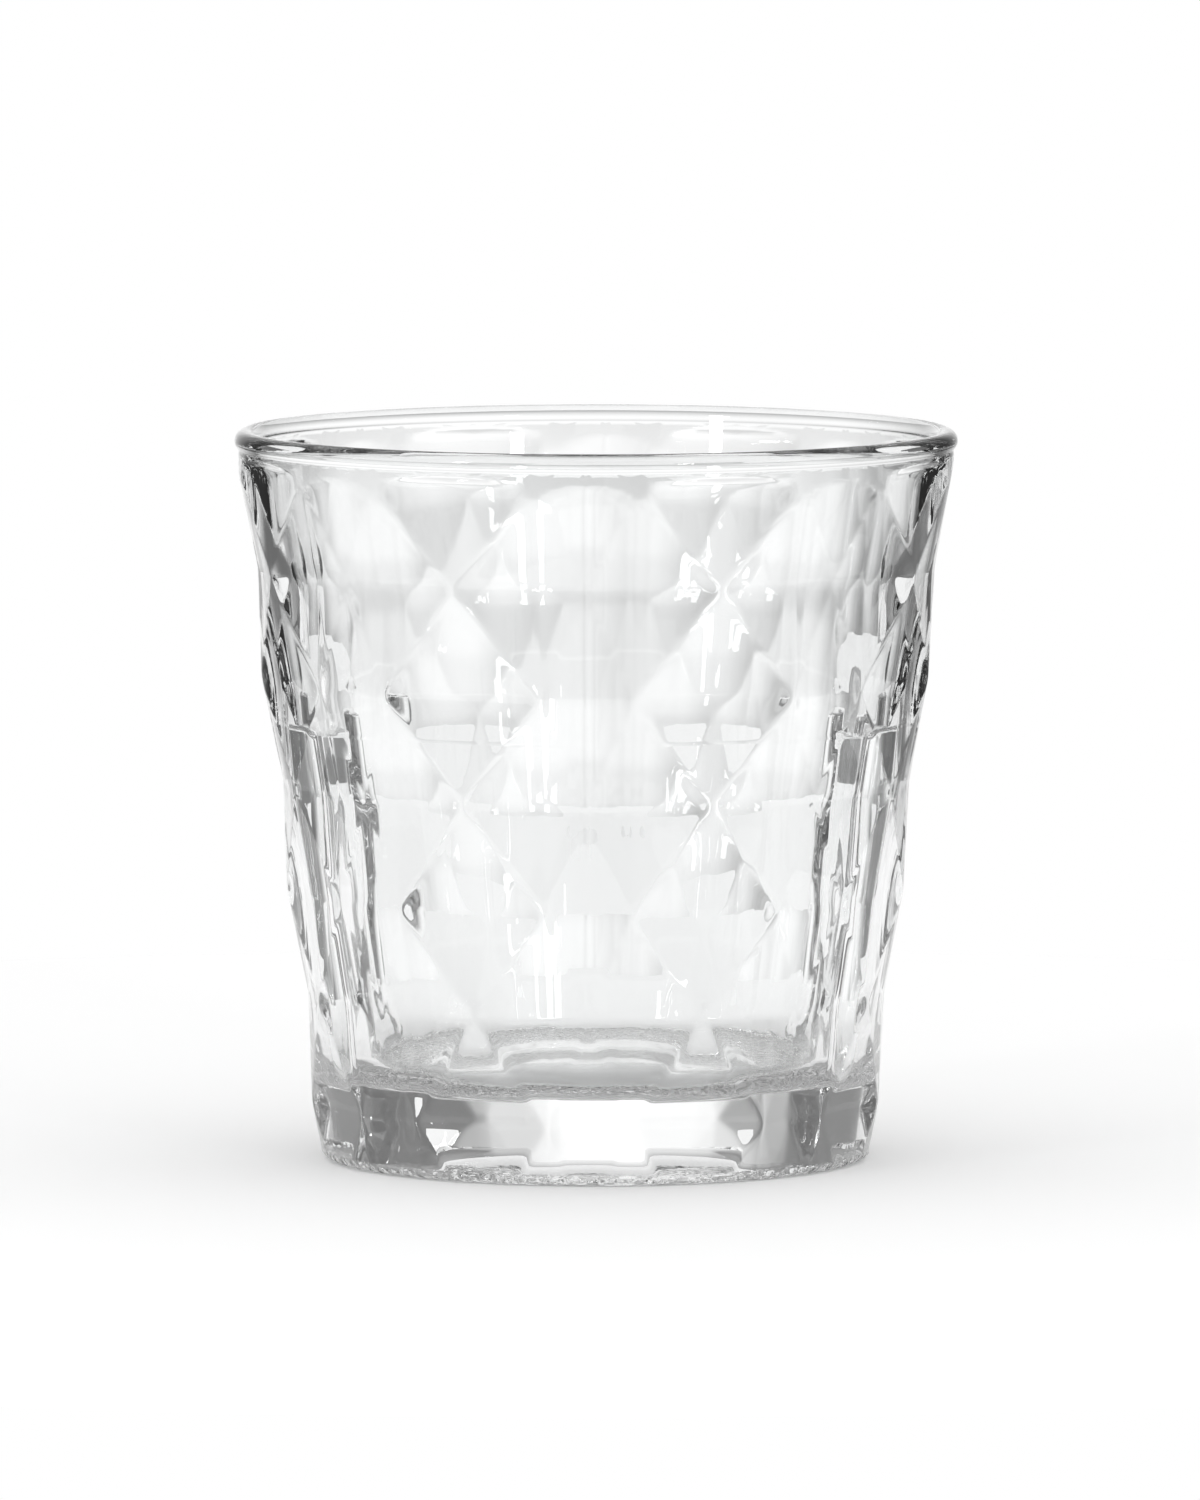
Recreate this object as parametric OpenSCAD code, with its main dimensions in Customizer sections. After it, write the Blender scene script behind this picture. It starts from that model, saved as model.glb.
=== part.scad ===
// Whiskey tumbler: one piece of press-moulded clear glass.
// The outside carries a relief of flat triangular facets, the inside is a smooth
// cone with four upright stacking ribs, the floor is thick and the rim is
// fire-polished round.
// Units: millimetres. +Z up, origin at the centre of the resting face, and the
// front of the relief (one of its narrow lozenges) faces -Y.

/* [Overall] */
// Height from the resting face to the top of the rim
height = 93; // [80:1:110]
// Outer diameter of the rim bead
rim_d = 92; // [88:1:100]
// Thickness of the rim bead
rim_t = 2.8; // [2.4:0.1:3.4]
// Step between the rim bead and the round band under it
bead_step = 0.5; // [0.2:0.1:0.8]
// Height of the round band under the rim bead
band_h = 2.6; // [1.5:0.1:4]

/* [Foot and floor] */
// Radius of the foot at the bottom row of facets
foot_r = 36.4; // [34:0.2:38]
// Radius of the rounding between the foot and the resting face
heel_r = 2.4; // [1.5:0.1:3.5]
// Radius of the hollow under the foot
dish_r = 28; // [20:0.5:30]
// Depth of the hollow under the foot
dish_h = 3.2; // [0.8:0.2:4]
// Thickness of the glass under the drinking space
floor_t = 10.5; // [9:0.5:14]

/* [Drinking space] */
// Lean of the inner wall from the vertical, in degrees
wall_lean = 9.2; // [8:0.1:9.6]
// Radius of the rounding between the inner wall and the floor
well_round = 5; // [2:0.5:8]

/* [Facets] */
// Number of times the facet pattern repeats around the glass
repeats = 8; // [6:1:10]
// Height of the lowest row of ridge points
ridge_z = 7.4; // [6:0.2:9]
// Drop from a row of ridge points to the row of valley points below it
valley_drop = 13.4; // [11:0.2:15]
// Half the angle across a narrow lozenge, in degrees
narrow_half = 8; // [6:0.5:11]
// Depth of the valley points at the ends of the narrow lozenges
valley_narrow = 1.3; // [0.4:0.1:1.6]
// Depth of the valley points at the ends of the wide lozenges
valley_wide = 0.3; // [0.2:0.1:1.4]
// Depth of the waist points, halfway up from one ridge point to the next
valley_waist = 1.2; // [0.8:0.1:1.6]
// Height of the soft fold down the middle of a wide lozenge
fold_wide = 0.2; // [0:0.1:0.9]

/* [Stacking ribs] */
// Height of the flat rib tops that carry the foot of a stacked glass
rib_top = 56; // [46:1:60]
// Width of a rib
rib_w = 6; // [5:0.5:10]
// Radius from the axis to the nose of a rib at its top
rib_nose_r = 33.4; // [31:0.2:34]
// Lean of a rib's nose from the vertical, in degrees
rib_lean = 6; // [3:0.5:8]
// Angle from the front of the glass to the nearer pair of ribs, in degrees
rib_angle = 67.5; // [45:2.5:75]

/* [Hidden] */
$fn = 96;

rim_r = rim_d / 2;
bead_r = rim_t / 2;
bead_c = rim_r - bead_r;
rim_z = height - bead_r;
band_r = rim_r - bead_step;

// The heel starts this far inside the lowest row of ridge points.
heel_tuck = 0.8;
heel_x = foot_r - heel_tuck - heel_r;

// The hollow under the foot is a slice of a ball of this radius.
dish_ball_r = (dish_r * dish_r + dish_h * dish_h) / (2 * dish_h);

// The inner wall is a straight line that meets the rim bead and the floor's
// rounding without a corner.
lip_x = bead_c - bead_r * cos(wall_lean);
lip_z = rim_z + bead_r * sin(wall_lean);
function wall_x(z) = lip_x - (lip_z - z) * tan(wall_lean);
round_z = floor_t + well_round;
round_x = wall_x(round_z) - well_round / cos(wall_lean);

// Ridge rows are evenly spaced from the foot to the band, on one straight taper.
ridge_rows = 3;
top_z = rim_z - band_h;
row_pitch = (top_z - ridge_z) / ridge_rows;
period = 360 / repeats;
fold_a = period / 2;
wide_half = fold_a - narrow_half;
taper = (band_r / cos(narrow_half) - foot_r) / (top_z - ridge_z);
flare = 4;

function ridge_r(z) = foot_r + taper * (z - ridge_z);
function at(angle, r, z) = [r * sin(angle), -r * cos(angle), z];

// One row of ridge points, four a period: the middle and the edge of a narrow
// lozenge, then the middle of a wide one and its far edge.
function ridge_row(r, z) = [
    for (k = [0 : repeats - 1]) each [
        at(k * period, r * cos(narrow_half), z),
        at(k * period + narrow_half, r, z),
        at(k * period + fold_a, r * cos(wide_half) + fold_wide, z),
        at((k + 1) * period - narrow_half, r, z)
    ]
];

// One row of valley points at the same angles: the tip of the narrow lozenges, a
// waist point, the tip of the wide lozenges and the next waist point.
function valley_row(z) = [
    for (k = [0 : repeats - 1]) each [
        at(k * period, ridge_r(z) - valley_narrow, z),
        at(k * period + narrow_half, ridge_r(z) - valley_waist, z),
        at(k * period + fold_a, ridge_r(z) - valley_wide, z),
        at((k + 1) * period - narrow_half, ridge_r(z) - valley_waist, z)
    ]
];

// Rows from below the foot to above the rim, valleys and ridges by turns: the relief
// runs past both ends of the round blank, which trims it.
rows = [
    for (i = [0 : ridge_rows]) each [
        valley_row(ridge_z + i * row_pitch - valley_drop),
        ridge_row(ridge_r(ridge_z + i * row_pitch), ridge_z + i * row_pitch)
    ],
    ridge_row(rim_r + flare, height + 1)
];
row_points = 4 * repeats;
function p(row, j) = row * row_points + j % row_points;

// Facets between ridge row g and the valley row v below it. Each ridge point at the
// edge of a lozenge is joined to the lozenge tips on both sides of it.
function facets_below(g, v) = [
    for (j = [0 : 4 : row_points - 4]) each [
        [p(v, j), p(g, j), p(g, j + 1)],
        [p(v, j), p(g, j + 1), p(v, j + 1)],
        [p(v, j + 1), p(g, j + 1), p(v, j + 2)],
        [p(v, j + 2), p(g, j + 1), p(g, j + 2)],
        [p(v, j + 2), p(g, j + 2), p(g, j + 3)],
        [p(v, j + 2), p(g, j + 3), p(v, j + 3)],
        [p(v, j + 3), p(g, j + 3), p(v, j + 4)],
        [p(v, j + 4), p(g, j + 3), p(g, j + 4)]
    ]
];
function facets_above(g, v) = [for (f = facets_below(g, v)) [f[2], f[1], f[0]]];
function flare_band(row) = [
    for (j = [0 : row_points - 1]) each [
        [p(row, j), p(row + 1, j), p(row + 1, j + 1)],
        [p(row, j), p(row + 1, j + 1), p(row, j + 1)]
    ]
];
last = len(rows) - 1;
relief_faces = concat(
    [[for (j = [0 : row_points - 1]) p(0, j)]],
    [for (i = [0 : ridge_rows]) each facets_below(2 * i + 1, 2 * i)],
    [for (i = [1 : ridge_rows]) each facets_above(2 * i - 1, 2 * i)],
    flare_band(last - 1),
    [[for (j = [row_points - 1 : -1 : 0]) p(last, j)]]
);

module relief() {
    polyhedron(points = [for (row = rows) each row], faces = relief_faces, convexity = 4);
}

// Half section of the drinking space, up to the rim.
module well_section() {
    translate([round_x, round_z]) circle(well_round);
    translate([0, floor_t]) square([round_x, well_round]);
    polygon([
        [0, round_z],
        [round_x, round_z],
        [round_x + well_round * cos(wall_lean), round_z - well_round * sin(wall_lean)],
        [lip_x, lip_z],
        [lip_x, height + 1],
        [0, height + 1]
    ]);
}

// Half section of the round blank, before the facets are cut into it.
module blank_section() {
    difference() {
        union() {
            square([heel_x, heel_r]);
            translate([heel_x, heel_r]) circle(heel_r);
            polygon([
                [0, heel_r],
                [heel_x + heel_r, heel_r],
                [foot_r + 1.2, ridge_z],
                [band_r, (ridge_z + top_z) / 2],
                [band_r, rim_z],
                [bead_c, rim_z],
                [lip_x, lip_z],
                [0, lip_z]
            ]);
        }
        well_section();
        translate([0, dish_h - dish_ball_r]) circle(dish_ball_r, $fn = 8 * $fn);
    }
    translate([bead_c, rim_z]) circle(bead_r);
}

// Upright bar with a round nose and a flat top, kept only where it stands out of
// the inner wall, with its root sunk into the glass.
module rib() {
    root = 1;
    nose_c = rib_nose_r + rib_w / 2;
    intersection() {
        translate([0, -nose_c, rib_top]) rotate([-rib_lean, 0, 0])
            translate([0, 0, -rib_top]) cylinder(d = rib_w, h = rib_top + 10);
        translate([-rib_w, -rim_r, floor_t - root]) cube([2 * rib_w, rim_r, rib_top + root - floor_t]);
        cylinder(r1 = wall_x(0) + root, r2 = wall_x(height) + root, h = height);
    }
}

module tumbler_glass() {
    color([0.93, 0.95, 0.95, 0.35]) union() {
        intersection() {
            relief();
            rotate_extrude() blank_section();
        }
        for (a = [rib_angle, 180 - rib_angle, 180 + rib_angle, -rib_angle])
            rotate([0, 0, a]) rib();
    }
}

tumbler_glass();
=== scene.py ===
import math
import bpy
import bmesh
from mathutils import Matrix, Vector
from mathutils.geometry import barycentric_transform


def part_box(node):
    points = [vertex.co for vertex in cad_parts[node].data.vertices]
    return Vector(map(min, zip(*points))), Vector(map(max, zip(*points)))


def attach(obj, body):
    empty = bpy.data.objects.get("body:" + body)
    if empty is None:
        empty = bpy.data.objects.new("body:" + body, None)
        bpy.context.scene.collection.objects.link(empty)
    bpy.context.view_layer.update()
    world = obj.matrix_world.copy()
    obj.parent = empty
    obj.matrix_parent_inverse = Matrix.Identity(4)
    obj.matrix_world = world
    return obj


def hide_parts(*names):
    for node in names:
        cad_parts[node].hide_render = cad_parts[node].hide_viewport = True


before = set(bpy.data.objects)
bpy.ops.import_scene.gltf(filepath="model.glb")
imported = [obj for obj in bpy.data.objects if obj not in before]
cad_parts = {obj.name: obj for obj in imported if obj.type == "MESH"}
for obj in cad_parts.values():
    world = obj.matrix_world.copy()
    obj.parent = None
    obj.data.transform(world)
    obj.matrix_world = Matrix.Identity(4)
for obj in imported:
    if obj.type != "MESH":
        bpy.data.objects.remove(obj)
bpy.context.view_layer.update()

# Tumbler: one gob of clear glass, pressed between a mould, a plunger and a ring.
# The mould's wall is cut with flat triangular facets, which the glass takes on with
# every crease slightly rounded, because it is still soft when the mould opens.
mm = 0.001
touching = 0.01 * mm
glass_low, glass_high = (Vector(corner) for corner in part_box("tumbler_glass"))
height = glass_high.z - glass_low.z
rim_r = (glass_high.x - glass_low.x) / 2
bead_r = 1.4 * mm
bead_x = rim_r - bead_r
bead_step = 0.5 * mm
rim_z = height - bead_r
band_r = rim_r - bead_step
band_h = 2.6 * mm
band_low = rim_z - band_h
foot_r = 36.4 * mm
heel_r = 2.4 * mm
heel_tuck = 0.8 * mm
heel_x = foot_r - heel_tuck - heel_r

repeats = 8
half_period = math.pi / repeats
narrow_half = math.radians(8)
wide_half = half_period - narrow_half
ridge_low = 7.4 * mm
ridge_rows = 3
row_pitch = (band_low - ridge_low) / ridge_rows
valley_drop = 13.4 * mm
valley_narrow = 1.3 * mm
valley_wide = 0.3 * mm
valley_waist = 1.2 * mm
fold_wide = 0.2 * mm
taper = (band_r / math.cos(narrow_half) - foot_r) / (band_low - ridge_low)


def around(angle, radius, z):
    return Vector((radius * math.sin(angle), -radius * math.cos(angle), z))


def ridge_radius(z):
    return foot_r + taper * (z - ridge_low)


def ridge_row(radius, z):
    middle = around(0, radius * math.cos(narrow_half), z)
    edge = around(narrow_half, radius, z)
    fold = around(half_period, radius * math.cos(wide_half) + fold_wide, z)
    return middle, edge, fold


def valley_row(z):
    narrow_tip = around(0, ridge_radius(z) - valley_narrow, z)
    waist = around(narrow_half, ridge_radius(z) - valley_waist, z)
    wide_tip = around(half_period, ridge_radius(z) - valley_wide, z)
    return narrow_tip, waist, wide_tip


# A facet is a flat triangle cut into small ones, which are drawn tight along its edges
# so that the crease between two facets stays narrow.
cells = 12
edge_pull = 1.4
share_corners = (Vector((1, 0, 0)), Vector((0, 1, 0)), Vector((0, 0, 1)))


def facet(mesh, corners):
    face = mesh.faces.new([mesh.verts.new(corner) for corner in corners])
    cut = bmesh.ops.subdivide_edges(mesh, edges=face.edges[:], cuts=cells - 1,
                                    use_grid_fill=True)
    for vert in [item for item in cut["geom"] if isinstance(item, bmesh.types.BMVert)]:
        shares = barycentric_transform(vert.co, *corners, *share_corners)
        pulled = [max(0, share) ** edge_pull for share in shares]
        spot = sum((corner * pull for corner, pull in zip(corners, pulled)), Vector())
        vert.co = spot / sum(pulled)


def facets(mesh, ridge, valley):
    middle, edge, fold = ridge
    narrow_tip, waist, wide_tip = valley
    facet(mesh, (narrow_tip, middle, edge))
    facet(mesh, (narrow_tip, edge, waist))
    facet(mesh, (waist, edge, wide_tip))
    facet(mesh, (wide_tip, edge, fold))


skin = bmesh.new()
ridge = ridge_row(foot_r, ridge_low)
facets(skin, ridge, valley_row(ridge_low - valley_drop))
for row in range(1, ridge_rows + 1):
    ridge_z = ridge_low + row * row_pitch
    valley = valley_row(ridge_z - valley_drop)
    facets(skin, ridge, valley)
    ridge = ridge_row(ridge_radius(ridge_z), ridge_z)
    facets(skin, ridge, valley)
flare = 4 * mm
overrun = 1 * mm
above = ridge_row(rim_r + flare, height + overrun)
for left in (0, 1):
    facet(skin, (ridge[left], ridge[left + 1], above[left]))
    facet(skin, (above[left], ridge[left + 1], above[left + 1]))

bmesh.ops.mirror(skin, geom=skin.verts[:] + skin.edges[:] + skin.faces[:], axis="X",
                 merge_dist=touching)
bmesh.ops.spin(skin, geom=skin.verts[:] + skin.edges[:] + skin.faces[:], axis=(0, 0, 1),
               cent=(0, 0, 0), angle=2 * math.pi, steps=repeats, use_duplicate=True)
bmesh.ops.remove_doubles(skin, verts=skin.verts, dist=touching)

# Each pass lets a point settle towards its neighbours, which rounds the creases.
crease_passes = 3
for _ in range(crease_passes):
    bmesh.ops.smooth_vert(skin, verts=skin.verts, factor=0.5, use_axis_x=True,
                          use_axis_y=True, use_axis_z=True)

# The mould opens in two halves, which leave a thin raised seam at the front and back.
seam_h = 0.05 * mm
seam_low = 14 * mm
for vert in skin.verts:
    if abs(vert.co.x) < touching and seam_low < vert.co.z < band_low:
        vert.co.y += math.copysign(seam_h, vert.co.y)

# The ring above and the bottom plate below are round, and trim the facets: the heel
# curves in to the flat foot, and a plain round band runs under the rim.
bead_start = -math.acos((band_r - bead_x) / bead_r)
band_top = rim_z + bead_r * math.sin(bead_start)
under_bead = 0.8 * mm
cut_width = 0.002 * mm
heel_cuts = [heel_r * (1 - math.cos(math.radians(turn))) for turn in range(10, 71, 15)]


def trim(mesh, z, keep_above=True, keep_below=True):
    bmesh.ops.bisect_plane(mesh, geom=mesh.verts[:] + mesh.edges[:] + mesh.faces[:],
                           dist=cut_width, plane_co=(0, 0, z), plane_no=(0, 0, 1),
                           clear_outer=not keep_above, clear_inner=not keep_below)


trim(skin, 0, keep_below=False)
trim(skin, band_top, keep_above=False)
for z in heel_cuts:
    trim(skin, z)
trim(skin, band_top - under_bead)
for vert in skin.verts:
    radius = math.hypot(vert.co.x, vert.co.y)
    limit = band_r
    if vert.co.z < heel_r:
        limit = heel_x + math.sqrt(max(0, heel_r ** 2 - (heel_r - vert.co.z) ** 2))
    if radius > limit or vert.co.z < touching:
        vert.co.x *= limit / radius
        vert.co.y *= limit / radius


# The rim is fire-polished: a flame melts the edge until it draws into a round bead.
def draw_ring(mesh, loop, radius, z):
    grown = bmesh.ops.extrude_edge_only(mesh, edges=loop)["geom"]
    new_verts = {item for item in grown if isinstance(item, bmesh.types.BMVert)}
    for vert in new_verts:
        stretch = radius / math.hypot(vert.co.x, vert.co.y)
        vert.co = (vert.co.x * stretch, vert.co.y * stretch, z)
    return [item for item in grown
            if isinstance(item, bmesh.types.BMEdge) and set(item.verts) <= new_verts]


def open_loop(mesh, z):
    return [edge for edge in mesh.edges if edge.is_boundary
            and all(abs(vert.co.z - z) < touching for vert in edge.verts)]


wall_lean = math.radians(9.2)
lip_x = bead_x - bead_r * math.cos(wall_lean)
lip_z = rim_z + bead_r * math.sin(wall_lean)
loop = open_loop(skin, band_top)
bead_steps = 18
for step in range(1, bead_steps + 1):
    turn = bead_start + (math.pi - wall_lean - bead_start) * step / bead_steps
    loop = draw_ring(skin, loop, bead_x + bead_r * math.cos(turn), rim_z + bead_r * math.sin(turn))

# Inner wall, its four stacking ribs and the thick floor, all left by the plunger.
floor_z = 10.5 * mm
well_round = 5 * mm
round_z = floor_z + well_round
rib_top = 56 * mm
rib_edge = 0.35 * mm
rib_half = 3 * mm
rib_flank = 0.9 * rib_half
rib_nose_r = 33.4 * mm
rib_lean = math.radians(6)
rib_angles = [math.radians(angle) for angle in (67.5, 112.5, -112.5, -67.5)]
rib_fillet = 0.8 * mm


def wall_x(z):
    return lip_x - (lip_z - z) * math.tan(wall_lean)


round_x = wall_x(round_z) - well_round / math.cos(wall_lean)


# How far from the axis a rib's surface is, beside the rib's middle line: a round nose,
# carried on by straight flanks.
def rib_front(across, z, setback):
    nose = rib_nose_r - (rib_top - z) * math.tan(rib_lean) + setback
    curved = min(abs(across), rib_flank)
    surface = nose + rib_half - math.sqrt(rib_half ** 2 - curved ** 2)
    flank_slope = rib_flank / math.sqrt(rib_half ** 2 - rib_flank ** 2)
    return surface + flank_slope * (abs(across) - curved)


def push_ribs(loop, z, setback):
    for vert in {vert for edge in loop for vert in edge.verts}:
        for angle in rib_angles:
            ahead = around(angle, 1, 0)
            aside = Vector((-ahead.y, ahead.x, 0))
            reach = vert.co.dot(ahead)
            across = vert.co.dot(aside)
            if reach < 0 or abs(across) > 2 * rib_half:
                continue
            front = rib_front(across, z, setback)
            blend = max(0, rib_fillet - abs(reach - front)) / rib_fillet
            settled = min(reach, front) - blend ** 2 * rib_fillet / 4
            vert.co += ahead * (settled - reach)


upper_rows = 10
upper_end = rib_top + 0.6 * mm
shelf_z = rib_top + 0.04 * mm
for step in range(1, upper_rows + 1):
    z = lip_z + (upper_end - lip_z) * step / upper_rows
    loop = draw_ring(skin, loop, wall_x(z), z)
loop = draw_ring(skin, loop, wall_x(rib_top), shelf_z)
for turn in (0, 30, 60, 90):
    setback = rib_edge * (1 - math.sin(math.radians(turn)))
    z = rib_top - rib_edge * (1 - math.cos(math.radians(turn)))
    loop = draw_ring(skin, loop, wall_x(z), z)
    push_ribs(loop, z, setback)
lower_rows = 12
wall_end = round_z - well_round * math.sin(wall_lean)
for step in range(1, lower_rows + 1):
    z = rib_top - rib_edge + (wall_end - rib_top + rib_edge) * step / lower_rows
    loop = draw_ring(skin, loop, wall_x(z), z)
    push_ribs(loop, z, 0)
round_rows = 10
for step in range(1, round_rows + 1):
    turn = wall_lean + (math.pi / 2 - wall_lean) * step / round_rows
    z = round_z - well_round * math.sin(turn)
    loop = draw_ring(skin, loop, round_x + well_round * math.cos(turn), z)
    push_ribs(loop, z, 0)
floor_rings = (20 * mm, 12 * mm, 5 * mm, 1 * mm)
for radius in floor_rings:
    loop = draw_ring(skin, loop, radius, floor_z)
bmesh.ops.edgenet_fill(skin, edges=loop)

# Underside: a flat ring to stand on, around a domed hollow.
dish_r = 28 * mm
dish_h = 3.2 * mm
dish_ball_r = (dish_r ** 2 + dish_h ** 2) / (2 * dish_h)
loop = open_loop(skin, 0)
dish_rows = 12
for step in range(dish_rows):
    radius = dish_r * (1 - step / dish_rows)
    z = dish_h - dish_ball_r + math.sqrt(dish_ball_r ** 2 - radius ** 2)
    loop = draw_ring(skin, loop, radius, z)
bmesh.ops.edgenet_fill(skin, edges=loop)
bmesh.ops.recalc_face_normals(skin, faces=skin.faces)

mesh = bpy.data.meshes.new("tumbler")
skin.to_mesh(mesh)
skin.free()
for polygon in mesh.polygons:
    polygon.use_smooth = True
tumbler = bpy.data.objects.new("tumbler", mesh)
bpy.context.collection.objects.link(tumbler)
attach(tumbler, "root")
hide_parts("tumbler_glass")

clear_glass = bpy.data.materials.new("clear_glass")
clear_glass.use_nodes = True
wire = clear_glass.node_tree.links.new
shader = clear_glass.node_tree.nodes["Principled BSDF"]
shader.inputs["Base Color"].default_value = (0.96, 0.965, 0.965, 1.0)
shader.inputs["Transmission Weight"].default_value = 1.0
shader.inputs["IOR"].default_value = 1.52
shader.inputs["Roughness"].default_value = 0.0
mesh.materials.append(clear_glass)

# Pressed glass is never quite flat: a slow ripple runs over all of it, and the ring it
# stands on is stippled, so that scratches from sliding it about don't show.
ripple_depth = 0.03 * mm
stipple_depth = 1.6 * mm
stipple_low = 0.8 * mm
stipple_high = 1.5 * mm
glass_node = clear_glass.node_tree.nodes.new
place = glass_node("ShaderNodeTexCoord")
ripple = glass_node("ShaderNodeTexNoise")
ripple.inputs["Scale"].default_value = 90
ripple.inputs["Detail"].default_value = 1
wire(place.outputs["Object"], ripple.inputs["Vector"])
ripple_bump = glass_node("ShaderNodeBump")
ripple_bump.inputs["Strength"].default_value = 1
ripple_bump.inputs["Distance"].default_value = ripple_depth
wire(ripple.outputs["Fac"], ripple_bump.inputs["Height"])

axes = glass_node("ShaderNodeSeparateXYZ")
wire(place.outputs["Object"], axes.inputs["Vector"])
foot_band = glass_node("ShaderNodeMapRange")
foot_band.inputs["From Min"].default_value = stipple_high
foot_band.inputs["From Max"].default_value = stipple_low
wire(axes.outputs["Z"], foot_band.inputs["Value"])
stipple = glass_node("ShaderNodeTexVoronoi")
stipple.inputs["Scale"].default_value = 700
wire(place.outputs["Object"], stipple.inputs["Vector"])
stipple_bump = glass_node("ShaderNodeBump")
stipple_bump.inputs["Distance"].default_value = stipple_depth
wire(foot_band.outputs["Result"], stipple_bump.inputs["Strength"])
wire(stipple.outputs["Distance"], stipple_bump.inputs["Height"])
wire(ripple_bump.outputs["Normal"], stipple_bump.inputs["Normal"])
wire(stipple_bump.outputs["Normal"], shader.inputs["Normal"])

# Table: a plain pale disc of matt paper to stand the glass on. It lies a hair below the
# foot, so that glass and paper are never in the same place.
table_r = 0.26
table_gap = 0.02 * mm
table_shape = bmesh.new()
bmesh.ops.create_circle(table_shape, cap_ends=True, radius=table_r, segments=96)
table_mesh = bpy.data.meshes.new("table")
table_shape.to_mesh(table_mesh)
table_shape.free()
table = bpy.data.objects.new("table", table_mesh)
bpy.context.collection.objects.link(table)
table.location.z = -table_gap

paper = bpy.data.materials.new("table_paper")
paper.use_nodes = True
paper_shader = paper.node_tree.nodes["Principled BSDF"]
paper_shader.inputs["Base Color"].default_value = (0.9, 0.9, 0.9, 1.0)
paper_shader.inputs["Roughness"].default_value = 0.9
paper_shader.inputs["Specular IOR Level"].default_value = 0
table_mesh.materials.append(paper)

# Studio: a white surround. Glass shows as dark and light lines, so what it bends and
# reflects is a room that is bright behind it, to the left, at the front right and
# overhead, and dim elsewhere.
scene = bpy.context.scene
scene.view_settings.view_transform = "Standard"
scene.cycles.max_bounces = 24
scene.cycles.transmission_bounces = 24
scene.cycles.glossy_bounces = 12
scene.cycles.caustics_refractive = True
scene.cycles.caustics_reflective = False

studio = bpy.data.worlds.new("studio")
scene.world = studio
studio.use_nodes = True
studio.node_tree.nodes.clear()
join = studio.node_tree.links.new


def studio_node(kind, **settings):
    node = studio.node_tree.nodes.new(kind)
    for name, value in settings.items():
        setattr(node, name, value)
    return node


# Each glow has a heading, how many degrees it reaches to either side, and its strength.
dim = 0.15
glows = (
    ((-0.1, 1, 0.02), 36, 1.16),
    ((-1, 0, -0.05), 40, 1.06),
    ((0.7, -0.7, -0.2), 50, 1.0),
    ((0, 0.1, 1), 88, 1.0),
)
direction = studio_node("ShaderNodeTexCoord")
brightness = None
for heading, reach, strength in glows:
    facing = studio_node("ShaderNodeVectorMath", operation="DOT_PRODUCT")
    facing.inputs[1].default_value = Vector(heading).normalized()
    join(direction.outputs["Generated"], facing.inputs[0])
    swing = studio_node("ShaderNodeMath", operation="ARCCOSINE")
    join(facing.outputs["Value"], swing.inputs[0])
    fade = studio_node("ShaderNodeMapRange", interpolation_type="SMOOTHSTEP")
    fade.inputs["From Min"].default_value = math.radians(reach)
    fade.inputs["From Max"].default_value = 0
    fade.inputs["To Min"].default_value = dim
    fade.inputs["To Max"].default_value = strength
    join(swing.outputs["Value"], fade.inputs["Value"])
    if brightness is None:
        brightness = fade.outputs["Result"]
    else:
        brighter = studio_node("ShaderNodeMath", operation="MAXIMUM")
        join(brightness, brighter.inputs[0])
        join(fade.outputs["Result"], brighter.inputs[1])
        brightness = brighter.outputs["Value"]

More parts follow.
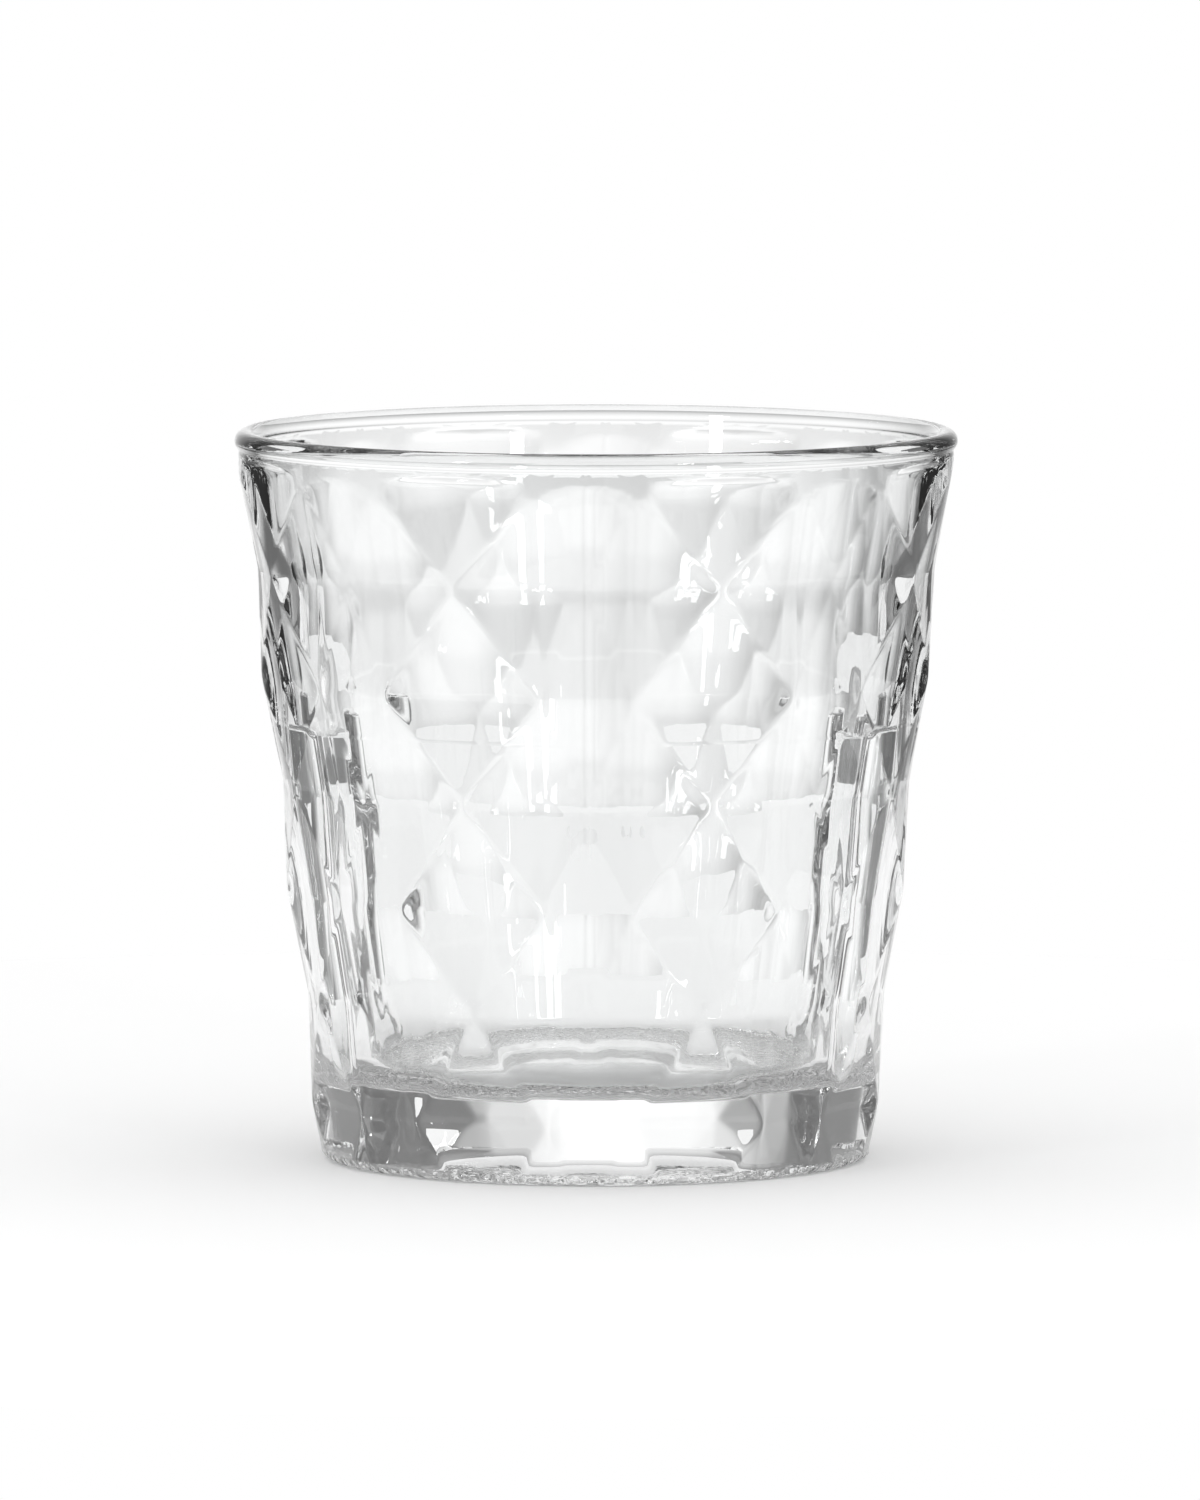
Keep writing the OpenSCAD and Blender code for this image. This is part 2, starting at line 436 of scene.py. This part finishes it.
# The matt table is lit evenly from all round, and the surround itself is seen as white.
even_light = 1.16
seen_white = 1.0
paths = studio_node("ShaderNodeLightPath")
scattered = studio_node("ShaderNodeMath", operation="GREATER_THAN")
scattered.inputs[1].default_value = 0.5
join(paths.outputs["Diffuse Depth"], scattered.inputs[0])
even = studio_node("ShaderNodeMix", data_type="FLOAT")
even.inputs["B"].default_value = even_light
join(scattered.outputs["Value"], even.inputs["Factor"])
join(brightness, even.inputs["A"])
surround = studio_node("ShaderNodeMix", data_type="FLOAT")
surround.inputs["B"].default_value = seen_white
join(paths.outputs["Is Camera Ray"], surround.inputs["Factor"])
join(even.outputs["Result"], surround.inputs["A"])
backdrop = studio_node("ShaderNodeBackground")
backdrop.inputs["Color"].default_value = (1, 1, 1, 1)
join(surround.outputs["Result"], backdrop.inputs["Strength"])
studio_output = studio_node("ShaderNodeOutputWorld")
join(backdrop.outputs["Background"], studio_output.inputs["Surface"])


# Two softboxes in front, left and right, put the white glints on facets and creases.
lit_point = Vector((0, 0, 0.05))
box_distance = 1.2


def softbox(name, azimuth, elevation, width, tall, radiance):
    level = box_distance * math.cos(math.radians(elevation))
    rise = box_distance * math.sin(math.radians(elevation))
    stand = lit_point + around(math.radians(azimuth), level, rise)
    lamp = bpy.data.lights.new(name, "AREA")
    lamp.shape = "RECTANGLE"
    lamp.size = width
    lamp.size_y = tall
    lamp.energy = radiance * math.pi * width * tall
    light = bpy.data.objects.new(name, lamp)
    bpy.context.collection.objects.link(light)
    light.location = stand
    light.rotation_euler = (lit_point - stand).to_track_quat("-Z", "Y").to_euler()


softbox("left_box", -42, 16, 0.10, 0.26, 14)
softbox("right_box", 30, 13, 0.10, 0.22, 14)

# Camera: a little above the rim, a hair to the right of the front seam.
camera_distance = 2.2
camera_rise = 0.25
camera_azimuth = math.radians(1.6)
aim = Vector((0.0005, 0, 0.052))
frame_height = 0.191
camera_data = bpy.data.cameras.new("camera")
camera = bpy.data.objects.new("camera", camera_data)
bpy.context.collection.objects.link(camera)
camera.location = around(camera_azimuth, camera_distance, camera_rise)
camera.rotation_euler = (aim - camera.location).to_track_quat("-Z", "Y").to_euler()
camera_data.sensor_width = 36
camera_data.lens = camera_data.sensor_width * (aim - camera.location).length / frame_height
camera_data.clip_end = 20
scene.camera = camera
